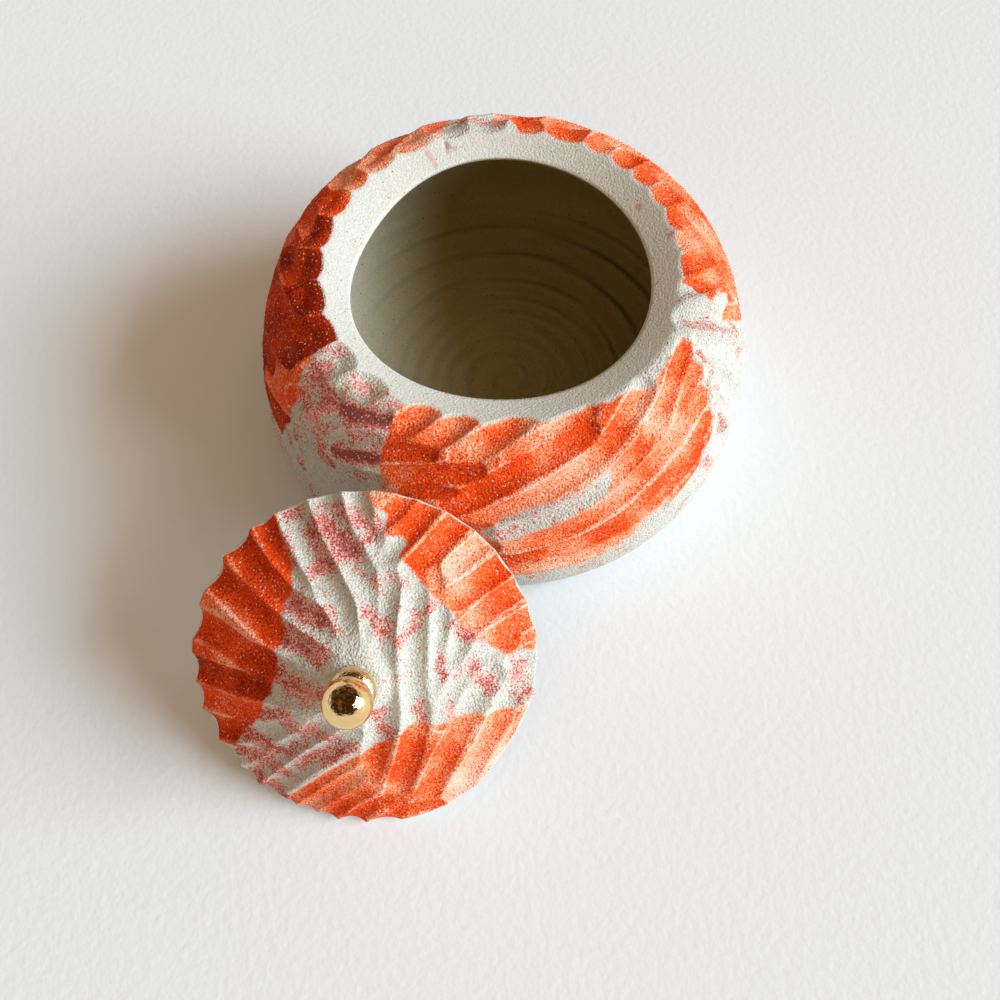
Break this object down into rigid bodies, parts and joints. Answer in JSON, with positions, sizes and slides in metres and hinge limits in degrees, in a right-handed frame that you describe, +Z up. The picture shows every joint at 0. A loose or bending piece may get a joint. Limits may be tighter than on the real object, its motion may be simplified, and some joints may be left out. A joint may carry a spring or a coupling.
{
  "type": "lidded salt cellar",
  "caption": "Low round stoneware salt cellar with carved flutes, a sloping lid seat inside its rim, and a domed lift-off lid with a gilded ball knob, leaning on the bowl.",
  "frame": {"origin": "centre of the bowl's flat foot, on the table it stands on", "axes": "+Z up along the bowl's axis; -Y towards the viewer of the picture, who sees the lid leaning at the front left; +X to that viewer's right"},
  "size_m": [0.1058, 0.1431, 0.0438],
  "materials": {
    "stained_stoneware": "matt unglazed carved stoneware with brushed orange and pink stain over pale grey clay",
    "gold_lustre": "bright gold lustre fired over glaze"
  },
  "bodies": {
    "bowl": {"salt_bowl": "stained_stoneware"},
    "lid": {"lid_cap": "stained_stoneware", "knob_neck": "gold_lustre", "knob_ball": "gold_lustre"}
  },
  "joints": [
    {"name": "lid_lift", "type": "slide", "parent": "bowl", "child": "lid", "axis": [0, 0, 1], "range_m": [0, 0.07]}
  ]
}
